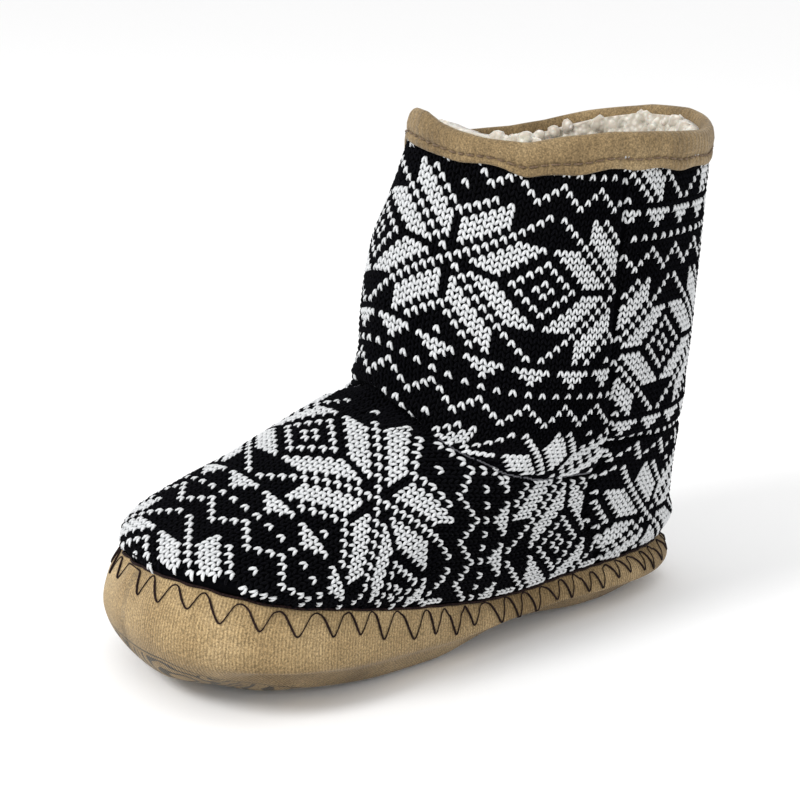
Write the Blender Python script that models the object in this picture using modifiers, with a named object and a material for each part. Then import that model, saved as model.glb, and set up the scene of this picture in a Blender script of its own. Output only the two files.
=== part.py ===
"""Soft knit ankle boot on a suede cup sole: the right boot, toe towards -Y, +X on its inner side.

Every layer is lofted through rings that run round the last, from the toe round the inner side
to the heel and back. The rings are worked out from the sizes below and from three short tables.
"""

import math
from collections import namedtuple

import bmesh
import bpy
import numpy as np

# Sole sizes, in metres
LENGTH = 0.250
BALL_WIDTH = 0.109
WAIST_WIDTH = 0.0855
HEEL_WIDTH = 0.0625
RAND_TOE_HEIGHT = 0.0415
RAND_HEEL_HEIGHT = 0.0205
RAND_WAIST_DIP = 0.009
TOE_SPRING = 0.006
ARCH_RISE = 0.005
TOE_SWING = 0.003
SOLE_WALL = 0.0025

# Foot and shaft sizes
INSTEP_HEIGHT = 0.092
ANKLE_BACK_HEIGHT = 0.079
COLLAR_FRONT_HEIGHT = 0.200
COLLAR_BACK_HEIGHT = 0.199
COLLAR_SIDE_DIP = 0.0025
SHAFT_WIDTH = 0.122
SHAFT_DEPTH = 0.121
SHAFT_BACK_INSET = 0.010
UPPER_WALL = 0.003
LIP_INSET = 0.0005
LIP_RISE = 0.0028
ANKLE_STEP = 0.0022
SEAM_GROOVE = 0.0012

# Insole, collar binding and the room between neighbours
INSOLE_THICKNESS = 0.005
BINDING_DEPTH = 0.0135
BINDING_THICKNESS = 0.0014
CLEARANCE = 0.0003

# Faceted rounds that face each other lie this many clearances apart, more where they turn over
ROUND_GAP = 2
TURN_GAP = 3
INSOLE_GAP = 4

# Stations along a ring, as shares of its own length from the toe: ball, waist and heel
BALL_STATION = 0.28
WAIST_STATION = 0.58
HEEL_STATION = 0.86

# Where the sole lifts off the floor, as shares of the length from the middle, toe side negative
SPRING_START = -0.30
ARCH_MIDDLE = 0.10
ARCH_REACH = 0.17
OUTER_ARCH_SHARE = 0.35

# Where the toe's sideways curve starts, and how far it runs, as shares of the length
SWING_START = 0.10
SWING_REACH = 0.60

# The seams that join the front panels to the back panel, in degrees round from the toe
SEAM_ANGLE = 117.0
SEAM_HALF_ANGLE = 4.0
SEAM_ROOM = 1.5

# Ankle fold: how it fades behind the side seams, in degrees, and over the rings above and below
FOLD_FADE = 12.0
FOLD_SOFTNESS = 4.0
FOLD_MIDDLE = 0.5
FOLD_REACH = 2.2
BULGE_SHARE = 0.6
BULGE_MIDDLE = 1.0
BULGE_REACH = 2.5

COLUMNS = 44
SOLE_SAMPLES = 2
UPPER_SAMPLES = 3

# front and back: shares of half the length from the middle of the sole; ball, waist and heel:
# shares of those half widths; roundness: the power of the superellipse at the ring's ends
Row = namedtuple("Row", "name front back front_z back_z ball waist heel roundness dip")

# Cup sole. Heights are shares of the rand's height at toe and heel, dip of its dip at the waist
SOLE_ROWS = (
    Row("tread", 0.80, 0.864, 0.00, 0.00, 0.785, 0.79, 0.745, 2.3, 0.0),
    Row("turn", 0.945, 0.955, 0.13, 0.16, 0.93, 0.93, 0.92, 2.4, 0.0),
    Row("side", 1.00, 1.00, 0.405, 0.49, 1.00, 1.00, 1.00, 2.4, 0.3),
    Row("shoulder", 0.988, 0.99, 0.74, 0.80, 0.985, 0.99, 0.98, 2.4, 0.7),
    Row("edge", 0.95, 0.962, 1.00, 1.00, 0.94, 0.946, 0.915, 2.35, 1.0),
)

# Knit foot. Heights are shares of the instep height in front and the ankle height behind
FOOT_ROWS = (
    Row("puff", 0.942, 0.978, 0.512, 0.367, 0.995, 1.000, 0.995, 2.4, 0.7),
    Row("toe_round", 0.885, 0.975, 0.588, 0.460, 1.005, 1.035, 1.035, 2.4, 0.45),
    Row("toe_box", 0.755, 0.970, 0.658, 0.557, 1.005, 1.080, 1.080, 2.35, 0.2),
    Row("vamp", 0.528, 0.952, 0.774, 0.734, 0.970, 1.125, 1.170, 2.3, 0.0),
    Row("instep", 0.288, 0.937, 0.930, 0.899, 0.940, 1.190, 1.245, 2.25, 0.0),
    Row("ankle", 0.164, 0.925, 1.000, 1.000, 0.935, 1.260, 1.300, 2.2, 0.0),
)

# Shaft. front and back: shares of its depth, forward of its back; heights: shares of its rise
# from ankle to collar; widths: shares of half its width
SHAFT_ROWS = (
    Row("above_ankle", 1.097, 0.010, 0.118, 0.098, 0.877, 0.948, 0.700, 2.15, 0.0),
    Row("lower_shaft", 1.090, 0.002, 0.293, 0.287, 0.905, 0.980, 0.718, 2.1, 0.0),
    Row("mid_shaft", 1.050, 0.000, 0.590, 0.574, 0.911, 0.990, 0.722, 2.1, 0.0),
    Row("under_collar", 0.985, 0.000, 0.872, 0.890, 0.911, 0.990, 0.722, 2.05, 0.6),
    Row("collar", 0.990, -0.008, 1.000, 1.000, 0.905, 0.990, 0.715, 2.0, 1.0),
)

# How far each floor ring reaches from the middle of the tread to its edge
FLOOR_SHARES = (0.25, 0.5, 0.75)

Ring = namedtuple("Ring", "front_y back_y front_z back_z ball waist heel roundness dip")


def columns():
    """Angles round the boot, from the toe over the inner side, closer together at the seams."""
    even = [360.0 * i / COLUMNS for i in range(COLUMNS)]
    seams = []
    for middle in (SEAM_ANGLE, 360.0 - SEAM_ANGLE):
        even = [a for a in even if abs(a - middle) > SEAM_HALF_ANGLE + SEAM_ROOM]
        seams += [middle - SEAM_HALF_ANGLE, middle, middle + SEAM_HALF_ANGLE]
    return np.radians(sorted(even + seams))


ANGLES = columns()


def sole_ring(row):
    half = LENGTH / 2
    return Ring(
        front_y=-row.front * half,
        back_y=row.back * half,
        front_z=row.front_z * RAND_TOE_HEIGHT,
        back_z=row.back_z * RAND_HEEL_HEIGHT,
        ball=row.ball * BALL_WIDTH / 2,
        waist=row.waist * WAIST_WIDTH / 2,
        heel=row.heel * HEEL_WIDTH / 2,
        roundness=row.roundness,
        dip=row.dip * RAND_WAIST_DIP,
    )


def foot_ring(row):
    ring = sole_ring(row)
    return ring._replace(
        front_z=row.front_z * INSTEP_HEIGHT,
        back_z=row.back_z * ANKLE_BACK_HEIGHT,
    )


def shaft_ring(row):
    shaft_back = LENGTH / 2 - SHAFT_BACK_INSET
    front_rise = COLLAR_FRONT_HEIGHT - INSTEP_HEIGHT
    back_rise = COLLAR_BACK_HEIGHT - ANKLE_BACK_HEIGHT
    return Ring(
        front_y=shaft_back - row.front * SHAFT_DEPTH,
        back_y=shaft_back - row.back * SHAFT_DEPTH,
        front_z=INSTEP_HEIGHT + row.front_z * front_rise,
        back_z=ANKLE_BACK_HEIGHT + row.back_z * back_rise,
        ball=row.ball * SHAFT_WIDTH / 2,
        waist=row.waist * SHAFT_WIDTH / 2,
        heel=row.heel * SHAFT_WIDTH / 2,
        roundness=row.roundness,
        dip=row.dip * COLLAR_SIDE_DIP,
    )


def superellipse(share, roundness):
    """Half width of a unit superellipse at a share of its length."""
    reach = np.clip(np.abs(2 * share - 1), 0, 1)
    return np.clip(1 - reach ** roundness, 0, None) ** (1 / roundness)


def swing(y):
    """Sideways curve of the last: the toe turns towards the inner side."""
    forward = np.clip((SWING_START - y / LENGTH) / SWING_REACH, 0, 1)
    return TOE_SWING * forward ** 2


def ring_points(ring):
    """The ring's points, one for each column."""
    along = (1 - np.cos(ANGLES)) / 2
    stations = np.array([BALL_STATION, WAIST_STATION, HEEL_STATION])
    widths = np.array([ring.ball, ring.waist, ring.heel]) / superellipse(stations, ring.roundness)
    curve = np.polyfit(stations, widths, 2)
    x = np.sign(np.sin(ANGLES)) * np.polyval(curve, along) * superellipse(along, ring.roundness)
    y = ring.front_y + along * (ring.back_y - ring.front_y)
    z = ring.front_z + along * (ring.back_z - ring.front_z) - ring.dip * 4 * along * (1 - along)
    return np.stack([x + swing(y), y, z], axis=1)


def inset(points, distance):
    """Move a ring inwards, level, by one distance for all columns or by one for each."""
    tangent = np.roll(points, -1, axis=0) - np.roll(points, 1, axis=0)
    outward = np.stack([-tangent[:, 1], tangent[:, 0], np.zeros(len(points))], axis=1)
    outward /= np.linalg.norm(outward, axis=1)[:, None]
    outward *= np.sign(np.sum(outward * (points - points.mean(axis=0))))
    return points - outward * np.broadcast_to(distance, len(points))[:, None]


def lift(points):
    """Height of the sole's underside over the floor: toe spring and arch, level elsewhere."""
    share = points[:, 1] / LENGTH
    spring = np.clip((SPRING_START - share) / (0.5 + SPRING_START), 0, None) ** 2
    bump = np.clip(1 - ((share - ARCH_MIDDLE) / ARCH_REACH) ** 2, 0, None) ** 2
    inner = np.clip((points[:, 0] + WAIST_WIDTH / 2) / WAIST_WIDTH, 0, 1)
    side_share = OUTER_ARCH_SHARE + (1 - OUTER_ARCH_SHARE) * inner
    return TOE_SPRING * spring + ARCH_RISE * bump * side_share


def lifted(points, share=1.0):
    raised = points.copy()
    raised[:, 2] += lift(points) * share
    return raised


def between(keys, samples):
    """Rings through the key rings, with samples from one key ring to the next."""
    keys = np.array(keys)
    padded = np.concatenate([2 * keys[:1] - keys[1:2], keys, 2 * keys[-1:] - keys[-2:-1]])
    rings = []
    for i in range(len(keys) - 1):
        before, start, end, after = padded[i:i + 4]
        for s in np.arange(samples) / samples:
            rings.append(0.5 * (
                2 * start + (end - before) * s
                + (2 * before - 5 * start + 4 * end - after) * s ** 2
                + (3 * start - before - 3 * end + after) * s ** 3
            ))
    rings.append(keys[-1])
    return rings


def loft(name, rings, close_start=False, close_end=False):
    """One skin through the rings, with an end closed by a fan where asked."""
    mesh = bmesh.new()
    rows = [[mesh.verts.new(point) for point in ring] for ring in rings]
    count = len(ANGLES)
    for low, high in zip(rows, rows[1:]):
        for i in range(count):
            j = (i + 1) % count
            mesh.faces.new((low[i], low[j], high[j], high[i]))
    for wanted, row, ring in ((close_start, rows[0], rings[0]), (close_end, rows[-1], rings[-1])):
        if wanted:
            middle = mesh.verts.new(np.mean(ring, axis=0))
            for i in range(count):
                mesh.faces.new((row[i], row[(i + 1) % count], middle))
    bmesh.ops.recalc_face_normals(mesh, faces=mesh.faces)
    if not (close_start and close_end):
        face_outwards(mesh)
    data = bpy.data.meshes.new(name)
    mesh.to_mesh(data)
    mesh.free()
    data.shade_smooth()
    part = bpy.data.objects.new(name, data)
    collection.objects.link(part)
    return part


def face_outwards(mesh):
    """Turn an open skin so that its faces look away from the boot's middle line."""
    mesh.normal_update()
    total = 0.0
    for face in mesh.faces:
        middle = face.calc_center_median()
        total += face.normal.x * middle.x * face.calc_area()
    if total < 0:
        bmesh.ops.reverse_faces(mesh, faces=mesh.faces)


def thicken(part, thickness, outwards=False):
    """Give an open skin a real wall, inwards unless told otherwise."""
    shell = part.modifiers.new("wall", "SOLIDIFY")
    shell.thickness = thickness
    shell.offset = 1 if outwards else -1
    shell.use_even_offset = True
    shell.use_rim = True


def paint(part, name, color, roughness):
    material = bpy.data.materials.new(name)
    material.use_nodes = True
    shader = material.node_tree.nodes["Principled BSDF"]
    shader.inputs["Base Color"].default_value = (*color, 1)
    shader.inputs["Roughness"].default_value = roughness
    shader.inputs["Metallic"].default_value = 0
    part.data.materials.append(material)


def floor_rings(outline, height):
    """Rings from the middle of the sole out to an outline, a height over the sole's underside."""
    middle = outline.mean(axis=0)
    rings = []
    for share in FLOOR_SHARES:
        ring = middle + (outline - middle) * share
        ring[:, 2] = height
        rings.append(lifted(ring))
    return rings


def sole_keys():
    """Key rings of the cup, which rise with toe spring and arch low down and not at the edge."""
    keys = []
    for i, row in enumerate(SOLE_ROWS):
        share = 1 - i / (len(SOLE_ROWS) - 1)
        keys.append(lifted(ring_points(sole_ring(row)), share))
    return keys


def make_outsole():
    keys = sole_keys()
    wall = between(keys, SOLE_SAMPLES)
    part = loft("outsole", floor_rings(keys[0], 0.0) + wall, close_start=True)
    thicken(part, SOLE_WALL)
    paint(part, "tan_suede", (0.48, 0.32, 0.14), 0.95)


def make_insole():
    """Flat pad on the cup's floor, its edge within the cup's rounded side."""
    keys = sole_keys()
    room = SOLE_WALL + CLEARANCE
    under = inset(keys[0], room / 2)
    under[:, 2] = room
    under = lifted(under)
    over = inset(keys[1], room + CLEARANCE)
    over[:, 2] = room + INSOLE_THICKNESS
    over = lifted(over)
    bottom = floor_rings(under, room)
    top = floor_rings(over, room + INSOLE_THICKNESS)
    part = loft("insole", bottom + [under, over] + top[::-1], close_start=True, close_end=True)
    paint(part, "cream_pile", (0.85, 0.80, 0.68), 1.0)


KEYS_BELOW_PUFF = 3


def upper_keys():
    """Key rings of the knit upper: tucked into the cup, then out over its edge and up the leg."""
    sole = {row.name: ring for row, ring in zip(SOLE_ROWS, sole_keys())}
    room = SOLE_WALL + CLEARANCE * ROUND_GAP
    tuck = inset(sole["side"], room)
    over_insole = SOLE_WALL + INSOLE_THICKNESS + CLEARANCE * INSOLE_GAP + lift(tuck)
    tuck[:, 2] = np.maximum(tuck[:, 2], over_insole)
    lip = inset(sole["edge"], LIP_INSET)
    lip[:, 2] += LIP_RISE
    keys = [tuck, inset(sole["edge"], room), lip]
    keys += [ring_points(foot_ring(row)) for row in FOOT_ROWS]
    keys += [ring_points(shaft_ring(row)) for row in SHAFT_ROWS]
    return keys


ANKLE_KEY = KEYS_BELOW_PUFF + [row.name for row in FOOT_ROWS].index("ankle")


def upper_rings():
    """Rings of the upper's outside, with the ankle seam's step and the side seams' grooves."""
    rings = between(upper_keys(), UPPER_SAMPLES)
    ankle = ANKLE_KEY * UPPER_SAMPLES
    away = np.degrees(np.minimum(ANGLES, 2 * math.pi - ANGLES))
    in_front = 1 / (1 + np.exp((away - SEAM_ANGLE + FOLD_FADE) / FOLD_SOFTNESS))
    groove = np.clip(1 - np.abs(away - SEAM_ANGLE) / SEAM_HALF_ANGLE, 0, 1) * SEAM_GROOVE
    first_free = KEYS_BELOW_PUFF * UPPER_SAMPLES
    last_free = len(rings) - 1 - UPPER_SAMPLES
    for i in range(first_free, last_free):
        below = ankle - i
        if below > 0:
            step = math.exp(-((below - FOLD_MIDDLE) / FOLD_REACH) ** 2)
        else:
            step = -BULGE_SHARE * math.exp(-((below + BULGE_MIDDLE) / BULGE_REACH) ** 2)
        rings[i] = inset(rings[i], step * ANKLE_STEP * in_front + groove)
    return rings


def make_upper():
    part = loft("upper", upper_rings())
    thicken(part, UPPER_WALL)
    paint(part, "black_white_knit", (0.10, 0.10, 0.11), 0.9)


def shaft_level(rings, drop):
    """A ring of the shaft, a drop below the collar's edge."""
    top, below = rings[-1], rings[-1 - UPPER_SAMPLES]
    share = drop / (top[:, 2] - below[:, 2])
    return top + (below - top) * share[:, None]


def make_collar_binding():
    """Suede tape folded over the collar: down the outside, over the edge, down the inside."""
    rings = upper_rings()
    drops = (BINDING_DEPTH, BINDING_DEPTH / 2, 0.0)
    outside = [inset(shaft_level(rings, drop), -CLEARANCE) for drop in drops]
    inner_face = UPPER_WALL + CLEARANCE * TURN_GAP
    inside = [inset(shaft_level(rings, drop), inner_face) for drop in drops[::-1]]
    for ring in (outside[-1], inside[0]):
        ring[:, 2] += CLEARANCE * ROUND_GAP
    part = loft("collar_binding", outside + inside)
    thicken(part, BINDING_THICKNESS, outwards=True)
    paint(part, "tan_suede_tape", (0.42, 0.28, 0.13), 0.9)


for old in list(bpy.data.objects):
    bpy.data.objects.remove(old, do_unlink=True)
collection = bpy.data.collections.new("knit_ankle_boot")
bpy.context.scene.collection.children.link(collection)
make_outsole()
make_insole()
make_upper()
make_collar_binding()
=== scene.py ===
"""Looks of the knit ankle boot: right boot, toe towards -Y, +X on its inner side, metres.

The layers are lofted through rings round the last, as in the solid model. The knit is made of
real stitches, two plump legs each, laid out by a chart on the boot's surface.
"""

import math
from collections import namedtuple

import bmesh
import bpy
import numpy as np
from mathutils import Matrix


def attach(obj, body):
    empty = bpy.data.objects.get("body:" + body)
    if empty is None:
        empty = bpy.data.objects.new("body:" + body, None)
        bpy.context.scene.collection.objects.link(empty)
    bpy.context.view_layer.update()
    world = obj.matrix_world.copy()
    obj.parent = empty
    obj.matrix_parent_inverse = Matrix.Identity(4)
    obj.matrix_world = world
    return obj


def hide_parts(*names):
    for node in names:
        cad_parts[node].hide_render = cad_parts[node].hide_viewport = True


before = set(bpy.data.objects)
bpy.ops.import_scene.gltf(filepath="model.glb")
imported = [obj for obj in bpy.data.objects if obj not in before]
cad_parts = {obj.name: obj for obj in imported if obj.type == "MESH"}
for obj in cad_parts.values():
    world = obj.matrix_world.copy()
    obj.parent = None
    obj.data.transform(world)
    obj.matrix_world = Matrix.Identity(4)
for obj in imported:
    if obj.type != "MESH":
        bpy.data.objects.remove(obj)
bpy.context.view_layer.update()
rng = np.random.default_rng(7)

# Sole sizes, in metres
LENGTH = 0.250
BALL_WIDTH = 0.109
WAIST_WIDTH = 0.0855
HEEL_WIDTH = 0.0625
RAND_TOE_HEIGHT = 0.0415
RAND_HEEL_HEIGHT = 0.0205
RAND_WAIST_DIP = 0.009
TOE_SPRING = 0.006
ARCH_RISE = 0.005
TOE_SWING = 0.003
SOLE_WALL = 0.0025

# Foot and shaft sizes
INSTEP_HEIGHT = 0.092
ANKLE_BACK_HEIGHT = 0.079
COLLAR_FRONT_HEIGHT = 0.200
COLLAR_BACK_HEIGHT = 0.199
COLLAR_SIDE_DIP = 0.0025
SHAFT_WIDTH = 0.122
SHAFT_DEPTH = 0.121
SHAFT_BACK_INSET = 0.010
UPPER_WALL = 0.003
LIP_INSET = 0.0005
LIP_RISE = 0.0028
INSOLE_THICKNESS = 0.005
BINDING_DEPTH = 0.0135
CLEARANCE = 0.0003

# Stations along a ring, as shares of its own length from the toe
BALL_STATION = 0.28
WAIST_STATION = 0.58
HEEL_STATION = 0.86
SPRING_START = -0.30
ARCH_MIDDLE = 0.10
ARCH_REACH = 0.17
OUTER_ARCH_SHARE = 0.35
SWING_START = 0.10
SWING_REACH = 0.60

# The side seams that join the front panels to the back panel: degrees round from the toe, by
# height in key rings. 2 is the lip in the cup, 8 the ankle and 13 the collar
SIDE_SEAM_KEYS = (2.0, 4.0, 6.4, 8.0, 9.6, 11.3, 12.2, 13.0)
SIDE_SEAM_ANGLES = (124.0, 116.5, 101.5, 93.0, 87.0, 83.0, 77.5, 75.0)

# The ankle seam between shaft and vamp: height in key rings, by degrees from the toe
ANKLE_SEAM = (
    (-104, 6.42), (-84, 6.38), (-70, 6.60), (-56, 6.90), (-42, 7.35), (-28, 8.00), (-14, 8.50),
    (0, 8.55), (17, 8.08), (32, 7.46), (45, 7.08), (56, 6.88), (70, 6.58), (84, 6.38), (104, 6.42),
)

COLUMNS = 720
SAMPLES = 24

Row = namedtuple("Row", "name front back front_z back_z ball waist heel roundness dip")
SOLE_ROWS = (
    Row("tread", 0.80, 0.864, 0.00, 0.00, 0.785, 0.79, 0.745, 2.3, 0.0),
    Row("turn", 0.945, 0.955, 0.13, 0.16, 0.93, 0.93, 0.92, 2.4, 0.0),
    Row("side", 1.00, 1.00, 0.405, 0.49, 1.00, 1.00, 1.00, 2.4, 0.3),
    Row("shoulder", 0.988, 0.99, 0.74, 0.80, 0.985, 0.99, 0.98, 2.4, 0.7),
    Row("edge", 0.95, 0.962, 1.00, 1.00, 0.94, 0.946, 0.915, 2.35, 1.0),
)
FOOT_ROWS = (
    Row("puff", 0.942, 0.978, 0.512, 0.367, 0.995, 1.000, 0.995, 2.4, 0.7),
    Row("toe_round", 0.885, 0.975, 0.588, 0.460, 1.005, 1.035, 1.035, 2.4, 0.45),
    Row("toe_box", 0.755, 0.970, 0.658, 0.557, 1.005, 1.080, 1.080, 2.35, 0.2),
    Row("vamp", 0.528, 0.952, 0.774, 0.734, 0.970, 1.125, 1.170, 2.3, 0.0),
    Row("instep", 0.288, 0.937, 0.930, 0.899, 0.940, 1.190, 1.245, 2.25, 0.0),
    Row("ankle", 0.164, 0.925, 1.000, 1.000, 0.935, 1.260, 1.300, 2.2, 0.0),
)
SHAFT_ROWS = (
    Row("above_ankle", 1.097, 0.010, 0.118, 0.098, 0.877, 0.948, 0.700, 2.15, 0.0),
    Row("lower_shaft", 1.090, 0.002, 0.293, 0.287, 0.905, 0.980, 0.718, 2.1, 0.0),
    Row("mid_shaft", 1.050, 0.000, 0.590, 0.574, 0.911, 0.990, 0.722, 2.1, 0.0),
    Row("under_collar", 0.985, 0.000, 0.872, 0.890, 0.911, 0.990, 0.722, 2.05, 0.6),
    Row("collar", 0.990, -0.008, 1.000, 1.000, 0.905, 0.990, 0.715, 2.0, 1.0),
)
Ring = namedtuple("Ring", "front_y back_y front_z back_z ball waist heel roundness dip")

ANGLES = np.radians(np.arange(COLUMNS) * 360.0 / COLUMNS)
DEGREES = np.degrees(ANGLES)
TURNS = (DEGREES + 180) % 360 - 180
AWAY = np.abs(TURNS)


def side_seam(key):
    return np.interp(key, SIDE_SEAM_KEYS, SIDE_SEAM_ANGLES)


def ankle_seam(turn):
    return np.interp(turn, *np.array(ANKLE_SEAM).T)


def smooth(value, low, high):
    """0 under low, 1 over high, and an even slope between."""
    share = np.clip((np.asarray(value, float) - low) / (high - low), 0, 1)
    return share * share * (3 - 2 * share)


def bell(value, middle, reach):
    return np.exp(-((np.asarray(value, float) - middle) / reach) ** 2)


def unit(vectors):
    return vectors / (np.linalg.norm(vectors, axis=-1, keepdims=True) + 1e-12)


def run_lengths(points):
    """Distances of a line's points from its first one, along it."""
    return np.concatenate([[0], np.cumsum(np.linalg.norm(np.diff(points, axis=0), axis=1))])


def sole_ring(row):
    half = LENGTH / 2
    return Ring(
        front_y=-row.front * half,
        back_y=row.back * half,
        front_z=row.front_z * RAND_TOE_HEIGHT,
        back_z=row.back_z * RAND_HEEL_HEIGHT,
        ball=row.ball * BALL_WIDTH / 2,
        waist=row.waist * WAIST_WIDTH / 2,
        heel=row.heel * HEEL_WIDTH / 2,
        roundness=row.roundness,
        dip=row.dip * RAND_WAIST_DIP,
    )


def foot_ring(row):
    return sole_ring(row)._replace(
        front_z=row.front_z * INSTEP_HEIGHT,
        back_z=row.back_z * ANKLE_BACK_HEIGHT,
    )


def shaft_ring(row):
    shaft_back = LENGTH / 2 - SHAFT_BACK_INSET
    front_rise = COLLAR_FRONT_HEIGHT - INSTEP_HEIGHT
    back_rise = COLLAR_BACK_HEIGHT - ANKLE_BACK_HEIGHT
    return Ring(
        front_y=shaft_back - row.front * SHAFT_DEPTH,
        back_y=shaft_back - row.back * SHAFT_DEPTH,
        front_z=INSTEP_HEIGHT + row.front_z * front_rise,
        back_z=ANKLE_BACK_HEIGHT + row.back_z * back_rise,
        ball=row.ball * SHAFT_WIDTH / 2,
        waist=row.waist * SHAFT_WIDTH / 2,
        heel=row.heel * SHAFT_WIDTH / 2,
        roundness=row.roundness,
        dip=row.dip * COLLAR_SIDE_DIP,
    )


def superellipse(share, roundness):
    reach = np.clip(np.abs(2 * share - 1), 0, 1)
    return np.clip(1 - reach ** roundness, 0, None) ** (1 / roundness)


def swing(y):
    """Sideways curve of the last: the toe turns towards the inner side."""
    return TOE_SWING * np.clip((SWING_START - y / LENGTH) / SWING_REACH, 0, 1) ** 2


def ring_points(ring):
    along = (1 - np.cos(ANGLES)) / 2
    stations = np.array([BALL_STATION, WAIST_STATION, HEEL_STATION])
    widths = np.array([ring.ball, ring.waist, ring.heel]) / superellipse(stations, ring.roundness)
    curve = np.polyfit(stations, widths, 2)
    x = np.sign(np.sin(ANGLES)) * np.polyval(curve, along) * superellipse(along, ring.roundness)
    y = ring.front_y + along * (ring.back_y - ring.front_y)
    z = ring.front_z + along * (ring.back_z - ring.front_z) - ring.dip * 4 * along * (1 - along)
    return np.stack([x + swing(y), y, z], axis=1)


def outwards(points):
    """Level directions out of a ring."""
    tangent = np.roll(points, -1, axis=0) - np.roll(points, 1, axis=0)
    outward = unit(np.stack([-tangent[:, 1], tangent[:, 0], np.zeros(len(points))], axis=1))
    return outward * np.sign(np.sum(outward * (points - points.mean(axis=0))))


def inset(points, distance):
    """Move a ring inwards, level, by one distance for all columns or by one for each."""
    return points - outwards(points) * np.broadcast_to(distance, len(points))[:, None]


def lift(points):
    """Height of the sole's underside over the floor: toe spring and arch, level elsewhere."""
    share = points[:, 1] / LENGTH
    spring = np.clip((SPRING_START - share) / (0.5 + SPRING_START), 0, None) ** 2
    bump = np.clip(1 - ((share - ARCH_MIDDLE) / ARCH_REACH) ** 2, 0, None) ** 2
    inner = np.clip((points[:, 0] + WAIST_WIDTH / 2) / WAIST_WIDTH, 0, 1)
    side_share = OUTER_ARCH_SHARE + (1 - OUTER_ARCH_SHARE) * inner
    return TOE_SPRING * spring + ARCH_RISE * bump * side_share


def lifted(points, share=1.0):
    raised = points.copy()
    raised[:, 2] += lift(points) * share
    return raised


def between(keys, samples):
    """Rings through the key rings, with samples from one key ring to the next."""
    keys = np.array(keys)
    padded = np.concatenate([2 * keys[:1] - keys[1:2], keys, 2 * keys[-1:] - keys[-2:-1]])
    rings = []
    for i in range(len(keys) - 1):
        before, start, end, after = padded[i:i + 4]
        for s in np.arange(samples) / samples:
            rings.append(0.5 * (
                2 * start + (end - before) * s
                + (2 * before - 5 * start + 4 * end - after) * s ** 2
                + (3 * start - before - 3 * end + after) * s ** 3
            ))
    rings.append(keys[-1])
    return np.array(rings)


def sole_keys():
    shares = np.linspace(1, 0, len(SOLE_ROWS))
    return [lifted(ring_points(sole_ring(row)), share) for row, share in zip(SOLE_ROWS, shares)]


KEYS_BELOW_PUFF = 3
LIP_KEY = 2
ANKLE_KEY = KEYS_BELOW_PUFF + len(FOOT_ROWS) - 1
COLLAR_KEY = ANKLE_KEY + len(SHAFT_ROWS)


def upper_keys():
    """Key rings of the knit upper: tucked into the cup, then out over its edge and up the leg."""
    sole = {row.name: ring for row, ring in zip(SOLE_ROWS, sole_keys())}
    room = SOLE_WALL + CLEARANCE * 2
    tuck = inset(sole["side"], room)
    over_insole = SOLE_WALL + INSOLE_THICKNESS + CLEARANCE * 4 + lift(tuck)
    tuck[:, 2] = np.maximum(tuck[:, 2], over_insole)
    lip = inset(sole["edge"], LIP_INSET)
    lip[:, 2] += LIP_RISE
    keys = [tuck, inset(sole["edge"], room), lip]
    keys += [ring_points(foot_ring(row)) for row in FOOT_ROWS]
    keys += [ring_points(shaft_ring(row)) for row in SHAFT_ROWS]
    return keys


# Creases and puffs of the soft upper. key: height in key rings, 8 is the ankle seam and 13 the
# collar; angle: degrees round from the toe; both with their reach; depth in metres, inwards
Crease = namedtuple("Crease", "key key_reach angle angle_reach slant depth")
CREASES = (
    Crease(8.55, 0.30, 0, 40, 0.0, -0.0020),
    Crease(8.95, 0.22, 20, 34, 0.012, 0.0016),
    Crease(7.75, 0.30, 104, 14, 0.020, 0.0026),
    Crease(7.75, 0.30, 256, 14, -0.020, 0.0026),
    Crease(7.90, 0.30, 180, 50, 0.0, 0.0022),
    Crease(9.00, 0.40, 180, 44, 0.0, -0.0015),
    Crease(10.4, 1.40, 112, 9, 0.0, 0.0016),
    Crease(10.4, 1.40, 248, 9, 0.0, 0.0016),
    Crease(9.70, 0.45, 72, 12, 0.030, -0.0012),
    Crease(9.20, 0.25, 66, 20, -0.018, 0.0012),
    Crease(9.30, 0.25, 300, 22, 0.016, 0.0012),
    Crease(11.2, 0.60, 36, 18, 0.0, 0.0010),
    Crease(11.3, 0.60, 330, 20, 0.0, 0.0010),
    Crease(5.60, 0.30, 24, 30, 0.010, 0.0009),
    Crease(5.50, 0.30, 330, 26, -0.010, 0.0009),
)
PUFF = 0.0018
PUFF_KEY = 3.5
SEAM_TROUGH = 0.0018
SEAM_TROUGH_REACH = 1.8
FOLD_STEP_FRONT = 0.0034
FOLD_STEP_SIDE = 0.0018
FOLD_BELOW = 0.40
FOLD_ABOVE = 0.08
FOLD_BULGE_SHARE = 0.40
FOLD_BULGE_REACH = 0.55

# How the knit at the toe tucks in, its lip sinks and the vamp's ridge rises, against the plain
# rings, in metres; each has its middle and reach in key rings and in degrees round from the toe
TOE_TUCK = 0.0022
TOE_TUCK_KEYS = (3.7, 0.9)
TOE_TUCK_TURNS = (-16, 34)
LIP_SINK = 0.0019
LIP_SINK_KEYS = (LIP_KEY, 0.7)
VAMP_RISE = 0.0022
VAMP_RISE_KEYS = (6.3, 1.5)
VAMP_RISE_TURNS = (0, 55)

# Key rings over which the cup's lift and the toe's push fade out of the knit
EDGE_LIFT_END = 6.2
TOE_PUSH_END = 5.5

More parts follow.
